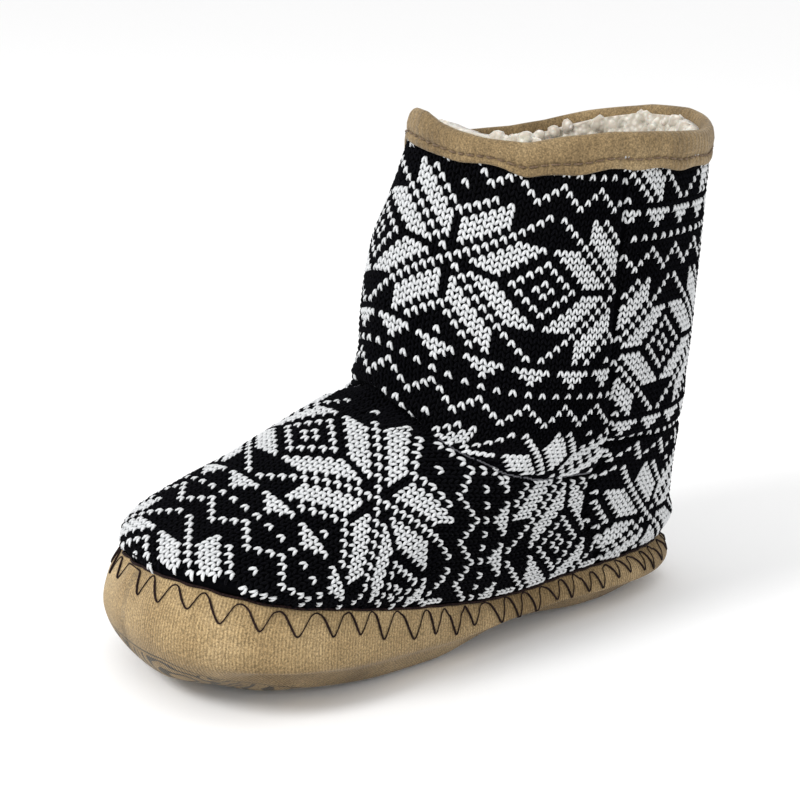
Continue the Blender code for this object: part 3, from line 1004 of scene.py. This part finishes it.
def vamp():
    """Vamp, from the toe to the ankle seam and the side seams. Its rows run across the foot."""
    panel = Panel("vamp_knit", -34, 37, -56, 36, 12)
    grid = panel.grid
    first = int((LIP_KEY + 0.02) * SAMPLES)
    last = int(LAST_FOOT_KEY * SAMPLES)
    ridge = SKIN[first:last + 1, 0]
    ridge_height = float(np.interp(VAMP_STAR_Y, ridge[:, 1], ridge[:, 2]))
    field = fan(SKIN, ridge_height)
    ridge_field = np.maximum.accumulate(field[first:last + 1, 0])
    length = run_lengths(ridge)
    star_at = float(np.interp(0.0, ridge_field, length))
    top_at = float(np.interp(VAMP_TOP_Y, ridge[:, 1], length))
    top_value = float(np.interp(top_at, length, ridge_field))
    known = np.zeros(panel.inside.shape, bool)
    want = vamp_width(panel.across)
    side_length = None
    filled = []
    for j in range(len(panel.along) - 1, -1, -1):
        at = star_at - panel.along[j] * VAMP_ROW
        if at < 0:
            continue
        if at <= top_at:
            value = float(np.interp(at, length, ridge_field))
            t = first + float(np.interp(at, length, np.arange(len(ridge))))
            low = int(t)
            point = SKIN[low, 0] * (1 - t + low) + SKIN[low + 1, 0] * (t - low)
            top = np.array([[*point, t / SAMPLES, 0.0]])
        else:
            value = top_value + (at - top_at) / (FAN_PIVOT_DEPTH + ridge_height)
            top = np.zeros((0, 5))
        inner, outer = (crossings(field, value, first, last, sign) for sign in (1, -1))
        if len(top):
            inner, outer = (side[side[:, 3] < top[0, 3]] for side in (inner, outer))
        if min(len(inner), len(outer)) < FEWEST_POINTS:
            continue
        if len(top):
            line = np.concatenate([outer, top, inner[::-1]])
            arc = run_lengths(line[:, :3])
            middle = arc[len(outer)]
            side_length = (arc[-1] - middle, middle)
            parts = [(arc - middle, line)]
        else:
            parts = [
                (run_lengths(outer[:, :3]) - side_length[1], outer),
                ((side_length[0] - run_lengths(inner[:, :3]))[::-1], inner[::-1]),
            ]
        for u, line in parts:
            u, line = extended(u, line)
            near = (want >= u[0]) & (want <= u[-1])
            known[near, j] = True
            grid[near, j] = np.stack([np.interp(want[near], u, line[:, n]) for n in range(3)], axis=1)
            key, angle = (np.interp(want, u, line[:, n]) for n in (3, 4))
            in_panel = (key < ankle_seam(angle) - 0.02) & (np.abs(angle) < side_seam(key) - SEAM_MARGIN)
            panel.inside[:, j] |= (want >= u[1]) & (want <= u[-2]) & (key > KNIT_END_KEY) & in_panel
        filled.append(j)
    for j in range(max(filled) + 1, len(panel.along)):
        grid[:, j] = 2 * grid[:, j - 1] - grid[:, j - 2]
    for j in range(max(filled) - 2, -1, -1):
        lost = ~known[:, j]
        grid[lost, j] = 2 * grid[lost, j + 1] - grid[lost, j + 2]
    panel.knit()


def knit_ground():
    """The closed wall under the stitches, dark outside; it stands for the upper's solid."""
    rows = slice(0, len(SKIN) - COLLAR_MARGIN, 4)
    near_knit, near_foot = ((SKIN - SKIN_NORMALS * depth)[rows, ::3] for depth in (YARN_DEPTH, UPPER_WALL))
    band = np.concatenate([near_knit, near_foot[::-1]])
    faces = looped_faces(*band.shape[:2])
    piece = mesh_object("knit_ground", band.reshape(-1, 3), faces, BASE_KNIT)
    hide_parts("upper")


# Suede cup


SOLE_SAMPLES = 14
FLOOR_SHARES = np.linspace(0.04, 0.96, 24)
FLOOR_TURN_ROWS = 4
RIM_RISE = 0.0008
GATHER_DEPTH = 0.00035
ROLL_DEPTH = 0.0003
THREAD_PULL = 0.0007
PRINT_TOP_KEY = -0.05
PRINT_TOE_RISE = 1.75
STITCH_HEIGHT = 0.0092
STITCH_PITCHES = ((0, 0.0108), (18, 0.0122), (40, 0.0138), (70, 0.0125), (130, 0.0085), (180, 0.0085))


def padded_keys():
    """The sole's key rings, swollen and lifted as the soft cup stands."""
    keys = sole_keys()
    edge_lift = by_angle(EDGE_LIFT)
    turn_lift = by_angle(TURN_LIFT)
    push = by_angle(TOE_PUSH)
    for i, (edge, turn, out) in enumerate(SOLE_SHARES):
        keys[i] = inset(keys[i], turn_lift * turn * TURN_INSET_SHARE - push * out)
        keys[i][:, 2] += edge_lift * edge + turn_lift * turn
    return keys


def round_lengths(ring):
    """Distances round a closed ring, up to its whole length."""
    return run_lengths(np.concatenate([ring, ring[:1]]))


def cup_skin():
    """Outer surface of the cup, with its gathers at toe and heel and the pull of the thread."""
    rings = between(padded_keys(), SOLE_SAMPLES)
    length = round_lengths(rings[-1])
    turns = whip_turns(length)
    pull = np.zeros(COLUMNS)
    for at, pitch in turns:
        far = np.abs(length[:-1] - at)
        pull += bell(np.minimum(far, length[-1] - far), 0, pitch * 0.22)
    ends = bell(AWAY, 0, 42) + 0.5 * bell(AWAY, 180, 30)
    gather = GATHER_DEPTH * np.sin(ANGLES * 34 + 2.1 * np.sin(ANGLES * 3)) * ends
    for i in range(len(rings)):
        key = i / SOLE_SAMPLES
        roll = ROLL_DEPTH * np.sin(ANGLES * 9 + key * 1.3)
        pulled = smooth(key, 3.1, 4.0) * THREAD_PULL * pull
        rings[i] = inset(rings[i], smooth(key, 2.2, 4.0) * gather + pulled + smooth(key, 0.5, 2) * roll)
    return rings, turns


def whip_turns(length):
    """Where each loop of the whip stitch starts along the edge, and how long it is."""
    turns = []
    at = 0.0
    while at < length[-1] - STITCH_PITCHES[0][1] / 2:
        angle = np.interp(at, length[:-1], AWAY)
        pitch = np.interp(angle, *np.array(STITCH_PITCHES).T)
        pitch *= 1 + float(np.clip(0.10 * rng.standard_normal(), -0.2, 0.2))
        turns.append((at, pitch))
        at += pitch
    return np.array(turns) * length[-1] / at


def arc_uv(points):
    """Distances in millimetres round the middle ring and up the columns, for ribs and grain."""
    round_boot = np.linalg.norm(np.roll(points, -1, axis=1) - points, axis=2)
    u = np.concatenate([[0], np.cumsum(round_boot[len(points) // 2])[:-1]]) * 1000
    v = np.concatenate([[0], np.cumsum(np.linalg.norm(np.diff(points, axis=0), axis=2).mean(axis=1))]) * 1000
    return np.stack(np.broadcast_arrays(u[None, :], v[:, None]), axis=-1)


def sag(outline, share):
    """How far the underside has come up at a share of the way out to its outline."""
    return (outline[:, 2] - lift(outline)) * smooth(share, 0.45, 1.0)


def flat_ring(outline, share, level, edge):
    """A ring of the sole's floor or footbed, at a share of the way out from the middle."""
    middle = outline.mean(axis=0)
    ring = middle + (outline - middle) * share
    ring[:, 2] = level
    ring = lifted(ring)
    ring[:, 2] += sag(edge, share)
    return ring


def suede_cup():
    """The padded cup, its floor and sides as one wall, with where it is printed and where painted shade
    darkens it.
    """
    walls, turns = cup_skin()
    floor = [flat_ring(walls[0], share, 0, walls[0]) for share in FLOOR_SHARES]
    outside = np.concatenate([np.array(floor), walls])
    normals = skin_normals(outside)
    down = np.array([0, 0, -1])
    normals[:len(floor)] = down
    for i in range(FLOOR_TURN_ROWS):
        share = (i + 1) / (FLOOR_TURN_ROWS + 1)
        normals[len(floor) + i] = unit(normals[len(floor) + i] * share + down * (1 - share))
    inside = (outside - normals * SOLE_WALL)[::-1]
    rim = (outside[-1] + inside[0]) / 2 + np.array([0, 0, RIM_RISE])
    band = np.concatenate([outside, rim[None], inside[:-3:3], inside[-1:]])[:, ::2]
    points, faces = capped(band)
    uv = np.concatenate([arc_uv(band).reshape(-1, 2), np.zeros((2, 2))])
    piece = mesh_object("suede_cup", points, faces, SUEDE, uv)
    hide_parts("outsole")
    height = (np.arange(len(band)) - len(floor)) / SOLE_SAMPLES
    top_key = PRINT_TOP_KEY + PRINT_TOE_RISE * (1 - smooth(TURNS, 10, 45)) * smooth(TURNS, -110, -80)
    printed = 0.5 + (top_key[None, ::2] - height[:, None]) * 3
    # Painted shade: full low on the cup, and up the whole wall towards the heel
    painted_shade = 1 - smooth(height, 1.3, 2.7)[:, None] * (1 - 0.85 * smooth(AWAY, 55, 100))[None, ::2]
    for name, values in (("print", printed), ("painted_shade", painted_shade)):
        spread = np.concatenate([np.clip(values, 0, 1).ravel(), np.zeros(2)]).astype(np.float32)
        piece.data.attributes.new(name, "FLOAT", "POINT").data.foreach_set("value", spread)
    return walls, turns


def on_walls(walls, normals, heights, column, down):
    """A point of the cup's side at a column and a distance under the edge, with its normal."""
    low = int(column) % COLUMNS
    share = column - int(column)
    found = []
    for table in (walls, normals):
        sides = []
        for place in (low, (low + 1) % COLUMNS):
            row = len(walls) - 1 - np.interp(down, heights[:, place], np.arange(len(heights)))
            first = min(int(row), len(walls) - 2)
            sides.append(table[first, place] * (1 - row + first) + table[first + 1, place] * (row - first))
        found.append(sides[0] * (1 - share) + sides[1] * share)
    return found


# One loop of the whip stitch: share of its length, share of its depth, height off the suede and
# radius of the thread, which lies plump on the way down and pulls thin on the way up
LOOP = (
    (0.02, 0.05, 0.0003, 0.00032), (0.12, 0.20, 0.0005, 0.00040), (0.26, 0.56, 0.0005, 0.00042),
    (0.40, 0.91, 0.0004, 0.00038), (0.47, 1.00, 0.0002, 0.00032), (0.54, 0.90, 0.0003, 0.00026),
    (0.64, 0.50, 0.0004, 0.00022), (0.74, 0.10, 0.0003, 0.00022), (0.88, -0.02, 0.0002, 0.00028),
)


def whip_thread(walls, turns):
    """Large uneven zigzag of dark thread over the cup's top edge, wider apart at the toe."""
    normals = skin_normals(walls)
    length = round_lengths(walls[-1])
    steps = np.linalg.norm(np.diff(walls[::-1], axis=0), axis=2)
    heights = np.concatenate([np.zeros((1, COLUMNS)), np.cumsum(steps, axis=0)])
    path = []
    for at, pitch in turns:
        deep = STITCH_HEIGHT * (1 + float(np.clip(0.10 * rng.standard_normal(), -0.2, 0.15)))
        lean = 0.07 * rng.standard_normal()
        start = abs(0.10 * rng.standard_normal())
        for share, drop, off, radius in LOOP:
            place = (at + (share + lean * math.sin(math.pi * share)) * pitch) % length[-1]
            column = np.interp(place, length, np.arange(COLUMNS + 1))
            down = (drop + start * (1 - drop)) * deep
            point, normal = on_walls(walls, normals, heights, column % COLUMNS, down)
            path.append((*(point + normal * off), radius))
    path = np.array(path)
    dense = between(np.concatenate([path, path[:1]])[:, None, :], 4)[:-1, 0]
    tube("whip_thread", dense[:, :3], dense[:, 3], DARK_THREAD, closed=True)


def edge_cord(walls):
    """The dark line where knit and suede meet."""
    rim = inset(walls[-1], 0.0003)[::2]
    rim[:, 2] += RIM_RISE
    tube("edge_cord", rim, 0.0005, DARK_THREAD, closed=True)


# Collar


# How far the tape's fold lies under the collar ring, in millimetres by degrees from the toe
TAPE_DROP = (
    (-180, 1.5), (-30, 1.5), (0, 2.0), (8, 3.4), (17, 4.6), (27, 5.0), (35, 4.5), (44, 2.4), (55, 1.5),
    (180, 1.5),
)

# The tape's section: share of its depth down from the fold, and metres out from the shaft
TAPE_PROFILE = (
    (1.00, 0.0003), (1.03, 0.0008), (1.00, 0.0014), (0.93, 0.0017), (0.84, 0.0017), (0.76, 0.0014),
    (0.71, 0.0007), (0.66, 0.0011), (0.56, 0.0015), (0.40, 0.0016), (0.24, 0.0013), (0.10, 0.0009),
    (0.02, 0.0004), (-0.05, -0.0004), (-0.08, -0.0014), (-0.06, -0.0024), (0.02, -0.0032),
    (0.14, -0.0038), (0.30, -0.0042), (0.52, -0.0043), (0.64, -0.0041), (0.70, -0.0038),
    (0.78, -0.0042), (0.90, -0.0042), (1.00, -0.0039), (1.00, -0.0034), (0.60, -0.0034),
    (0.16, -0.0032), (0.08, -0.0016), (0.12, 0.0003), (0.50, 0.0003),
)
THIN_TAPE = 0.0008
TAPE_SEAM_SHARE = 0.70
TAPE_LENGTH_MM = 385.0
TAPE_STITCHES = 96
TAPE_STITCH_POINTS = 7
TAPE_STITCH_SIDES = 5
TAPE_STITCH_RADIUS = 0.00034


def collar_frame():
    """The tape's fold, the way down the shaft from it, its outward directions and its width."""
    below = SKIN[-1 - SAMPLES]
    down = (below - SKIN[-1]) / (SKIN[-1][:, 2] - below[:, 2])[:, None]
    drop = by_angle(TAPE_DROP, 5)
    return SKIN[-1] + down * drop[:, None], down, outwards(SKIN[-1]), BINDING_DEPTH - drop


def collar_tape():
    """Suede tape folded over the collar, plump over its seam and uneven along its lower edge."""
    top, down, outward, width = collar_frame()
    wave = 0.0005 * np.sin(ANGLES * 7 + 0.6) + 0.0004 * (np.sin(ANGLES * 17 + 2.0) + np.sin(ANGLES * 5))
    rows = []
    for drop, off in TAPE_PROFILE:
        swell = 1 + 0.10 * np.sin(ANGLES * 11 + drop * 2) + 0.06 * np.sin(ANGLES * 29 + drop * 5)
        depth = drop * width + wave * max(drop, 0)
        place = off * swell if off > THIN_TAPE else np.full(COLUMNS, off)
        rows.append(top + down * depth[:, None] + outward * place[:, None])
    band = np.array(rows)[:, ::2]
    count = band.shape[1]
    u = np.arange(count) * TAPE_LENGTH_MM / count
    v = np.array([drop for drop, off in TAPE_PROFILE]) * BINDING_DEPTH * 1000
    uv = np.stack(np.broadcast_arrays(u[None, :], v[:, None]), axis=-1).reshape(-1, 2)
    faces = looped_faces(len(band), count)[:, ::-1]
    piece = mesh_object("collar_tape", band.reshape(-1, 3), faces, TAPE, uv)
    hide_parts("collar_binding")
    return top, down, outward, (width + wave) * TAPE_SEAM_SHARE


def tape_stitches(top, down, outward, drop):
    """The line of stitches two thirds down the tape: short runs sunk in the groove."""
    count, sides = TAPE_STITCH_POINTS, TAPE_STITCH_SIDES
    per = COLUMNS / TAPE_STITCHES
    rise = 0.0012 + np.sin(np.linspace(0, np.pi, count)) * 0.0004
    radius = TAPE_STITCH_RADIUS * np.sin(np.linspace(0.25, np.pi - 0.25, count)) ** 0.4
    points, quads, caps, uv = [], [], [], []
    for k in range(TAPE_STITCHES):
        place = ((k + np.linspace(0.08, 0.86, count)) * per).astype(int) % COLUMNS
        line = top[place] + down[place] * drop[place, None] + outward[place] * rise[:, None]
        rings, u = tube_rings(line, unit(np.gradient(line, axis=0)), radius, sides)
        first = k * count * sides
        points.append(rings.reshape(-1, 3))
        quads.append(band_faces(count, sides, first))
        caps.append(tube_ends(count, sides) + first)
        uv.append(np.stack(np.broadcast_arrays(u[None], np.arange(count)[:, None]), axis=-1).reshape(-1, 2))
    faces = [np.concatenate(quads), np.concatenate(caps)]
    mesh_object("tape_stitches", np.concatenate(points), faces, TAPE_THREAD, np.concatenate(uv))


# Lining and insole


def lumps(u, v, cell, height, seed):
    """Rounded curls: the height at each place is that of the nearest of many scattered mounds."""
    table = np.random.default_rng(seed).random((4096, 3))
    best = np.zeros_like(u)
    i0, j0 = np.floor(u / cell).astype(int), np.floor(v / cell).astype(int)
    for di in (-1, 0, 1):
        for dj in (-1, 0, 1):
            i, j = i0 + di, j0 + dj
            pick = table[(i * 73 + j * 179 + i * j * 7) % 4096]
            away_u = u - (i + pick[..., 0]) * cell
            away_v = v - (j + pick[..., 1]) * cell
            far = np.hypot(away_u, away_v) / (cell * (0.75 + 0.45 * pick[..., 2]))
            mound = np.sqrt(np.clip(1 - far ** 2, 0, None)) * (0.6 + 0.4 * pick[..., 2])
            best = np.maximum(best, mound)
    return best * height


def evened(rings, reach):
    """A band of rings without its short creases."""
    padded = np.concatenate([rings[:1].repeat(reach, axis=0), rings, rings[-1:].repeat(reach, axis=0)])
    total = np.cumsum(np.concatenate([np.zeros((1, *rings.shape[1:])), padded]), axis=0)
    return (total[2 * reach + 1:] - total[:-2 * reach - 1]) / (2 * reach + 1)


def pile_lining():
    """Curly pile on the inside of the upper, lumpier at the collar where it shows."""
    key = (np.arange(len(SKIN)) / SAMPLES)[:, None, None]
    near_collar = smooth(key, COLLAR_KEY - 2.5, COLLAR_KEY - 1.5)
    even = evened(SKIN, SAMPLES // 2)
    even = even + (SKIN - even) * near_collar
    level = np.array([outwards(ring) for ring in SKIN])
    outward = level + (skin_normals(even) - level) * smooth(key, 3.0, 4.5)
    room = UPPER_WALL + CLEARANCE + 0.0016 * (1 - near_collar)
    ankle = ANKLE_KEY * SAMPLES
    rows = np.concatenate([np.arange(0, ankle, 5), np.arange(ankle, len(SKIN) - COLLAR_MARGIN)])
    wall = (even - outward * room)[rows][:, ::3]
    u, v = np.moveaxis(arc_uv(wall) / 1000, -1, 0)
    swell = lumps(u, v, 0.0085, 0.0050, 11) + lumps(u, v, 0.0035, 0.0014, 12)
    face = wall - skin_normals(wall) * (0.0012 + swell)[..., None]
    band = np.concatenate([wall[:-1:4], wall[-1:], face[::-1]])
    mesh_object("pile_lining", band.reshape(-1, 3), looped_faces(*band.shape[:2]), PILE)


# Tufts all round and tufts over the near edge: how many, their radii, and how far they are down
# from the tape's fold and in from it, in metres
TUFT_COUNT = 320
NEAR_TUFT_COUNT = 9
NEAR_TUFT_DEGREES = (28, 48)
TUFT_RADII = (0.0018, 0.0034)
TUFT_DROPS = (0.0035, 0.0130)
TUFT_DEPTHS = (0.0062, 0.0092)
NEAR_TUFT_DROPS = (-0.0010, 0.0015)
NEAR_TUFT_DEPTHS = (0.0070, 0.0085)


def pile_tufts():
    """Round tufts of pile that stand inside the collar, a few of them over its edge."""
    shape = bmesh.new()
    bmesh.ops.create_icosphere(shape, subdivisions=2, radius=1.0)
    ball = np.array([v.co for v in shape.verts])
    faces = np.array([[v.index for v in f.verts] for f in shape.faces])
    shape.free()
    top, down, outward, _ = collar_frame()
    angles = [*rng.uniform(0, 360, TUFT_COUNT), *rng.uniform(*NEAR_TUFT_DEGREES, NEAR_TUFT_COUNT)]
    points = []
    for k, angle in enumerate(angles):
        over_edge = k >= TUFT_COUNT
        column = int(angle * COLUMNS / 360) % COLUMNS
        size = rng.uniform(*TUFT_RADII)
        drop = rng.uniform(*(NEAR_TUFT_DROPS if over_edge else TUFT_DROPS))
        depth = rng.uniform(*(NEAR_TUFT_DEPTHS if over_edge else TUFT_DEPTHS))
        centre = top[column] + down[column] * drop - outward[column] * depth
        stretch = rng.uniform(0.8, 1.15, 3)
        waves = np.sin(ball @ rng.normal(0, 3.2, (3, 3)) + rng.uniform(0, 6, 3))
        lumpy = 1 + 0.085 * waves.sum(axis=1, keepdims=True)
        points.append(centre + ball * stretch * size * lumpy)
    first = np.arange(len(points))[:, None, None] * len(ball)
    mesh_object("pile_tufts", np.concatenate(points), (faces[None] + first).reshape(-1, 3), PILE)


def pile_insole():
    """Footbed covered in low curls, on the cup's floor."""
    keys = padded_keys()
    room = SOLE_WALL + CLEARANCE
    under = inset(keys[0], room)
    over = inset(keys[1], room + CLEARANCE + by_angle(TURN_LIFT) * 0.5)
    rings = [flat_ring(under, share, room, keys[0]) for share in np.linspace(0.1, 1, 8)]
    for share in np.linspace(1, 0.02, 60):
        ring = flat_ring(over, share, room + INSOLE_THICKNESS, keys[0])
        if share < 0.99:
            ring[:, 2] += lumps(ring[:, 0] + 1, ring[:, 1] + 1, 0.007, 0.0030, 21)
        rings.append(ring)
    points, faces = capped(np.array(rings)[:, ::3])
    piece = mesh_object("pile_insole", points, faces, PILE)
    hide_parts("insole")


# How far round the thread goes, in degrees, and its radius and height off the knit
THREAD_REACH = 101
THREAD_RADIUS = 0.00032
THREAD_RISE = 0.0003


def ankle_thread():
    """Thread along the ankle seam."""
    reach = int(THREAD_REACH / 360 * COLUMNS)
    columns = np.arange(-reach, reach + 1, 2) % COLUMNS
    rows = np.round(softened(ankle_seam(TURNS), 8)[columns] * SAMPLES).astype(int)
    path = SKIN[rows, columns] + SKIN_NORMALS[rows, columns] * THREAD_RISE
    tube("ankle_thread", path, THREAD_RADIUS, GREY_THREAD)


# Camera, floor and light, for a frame of 800 by 800 pixels


PHOTO_FRAME = 800
FOCAL_PIXELS = 1061.5
ORBIT_DISTANCE = 0.637
AZIMUTH = math.radians(50.2)
ELEVATION = math.radians(16.2)
ROLL = math.radians(3.8)
ORBIT_CENTRE = np.array([0.0, 0.0, 0.090])
CENTRE_PIXEL = (289.8, 405.9)
BOOT_MIDDLE_PIXEL = (276.5, 403.0)
ZOOM = 1.55
SENSOR = 36.0
FLOOR_REACH = 10.0
LIGHT_TARGET = (0.0, 0.0, 0.1)


def make_camera():
    """The photo's viewpoint, turned to look at the middle of the boot."""
    forward = np.array([
        -math.sin(AZIMUTH) * math.cos(ELEVATION),
        math.cos(AZIMUTH) * math.cos(ELEVATION),
        -math.sin(ELEVATION),
    ])
    level = np.array([math.cos(AZIMUTH), math.sin(AZIMUTH), 0.0])
    up = np.cross(level, forward)
    right = level * math.cos(ROLL) + up * math.sin(ROLL)
    top = -level * math.sin(ROLL) + up * math.cos(ROLL)
    half = PHOTO_FRAME / 2
    aside = ORBIT_DISTANCE * (CENTRE_PIXEL[0] - half) / FOCAL_PIXELS
    above = -ORBIT_DISTANCE * (CENTRE_PIXEL[1] - half) / FOCAL_PIXELS
    place = ORBIT_CENTRE - aside * right - above * top - ORBIT_DISTANCE * forward
    look = forward + right * (BOOT_MIDDLE_PIXEL[0] - half) / FOCAL_PIXELS
    look = unit(look + top * (half - BOOT_MIDDLE_PIXEL[1]) / FOCAL_PIXELS)
    right = unit(right - look * (right @ look))
    data = bpy.data.cameras.new("camera")
    data.sensor_width = SENSOR
    data.lens = SENSOR * FOCAL_PIXELS * ZOOM / PHOTO_FRAME
    camera = bpy.data.objects.new("camera", data)
    bpy.context.scene.collection.objects.link(camera)
    turn = Matrix((right, np.cross(right, look), -look)).transposed()
    camera.matrix_world = Matrix.Translation(place) @ turn.to_4x4()
    bpy.context.scene.camera = camera


def make_floor():
    data = bpy.data.meshes.new("floor")
    corners = [(x * FLOOR_REACH, y * FLOOR_REACH, 0) for x, y in ((-1, -1), (1, -1), (1, 1), (-1, 1))]
    data.from_pydata(corners, [], [(0, 1, 2, 3)])
    data.materials.append(Look("pale_floor", grey(0.97), 0.9).material)
    floor = bpy.data.objects.new("floor", data)
    bpy.context.scene.collection.objects.link(floor)


def area_light(name, place, size, power):
    data = bpy.data.lights.new(name, "AREA")
    data.shape = "DISK"
    data.size = size
    data.energy = power
    light = bpy.data.objects.new(name, data)
    bpy.context.scene.collection.objects.link(light)
    back = unit(np.subtract(place, LIGHT_TARGET))
    side = unit(np.cross([0.0, 0.0, 1.0], back))
    turn = Matrix((side, np.cross(back, side), back)).transposed()
    light.matrix_world = Matrix.Translation(place) @ turn.to_4x4()


def make_lights():
    world = bpy.data.worlds.new("studio")
    world.use_nodes = True
    background = world.node_tree.nodes["Background"]
    background.inputs["Color"].default_value = (1.0, 1.0, 1.0, 1)
    background.inputs["Strength"].default_value = 0.98
    bpy.context.scene.world = world
    area_light("key", (0.1, -1.5, 1.4), 0.7, 23)
    area_light("fill", (1.6, 0.3, 0.6), 1.0, 1.5)


make_camera()
make_floor()
make_lights()
bpy.context.scene.view_settings.view_transform = "Standard"

knit_ground()
front_shaft()
back_panel()
vamp()
cup_walls, whip_loops = suede_cup()
whip_thread(cup_walls, whip_loops)
edge_cord(cup_walls)
tape_stitches(*collar_tape())
pile_lining()
pile_tufts()
pile_insole()
ankle_thread()
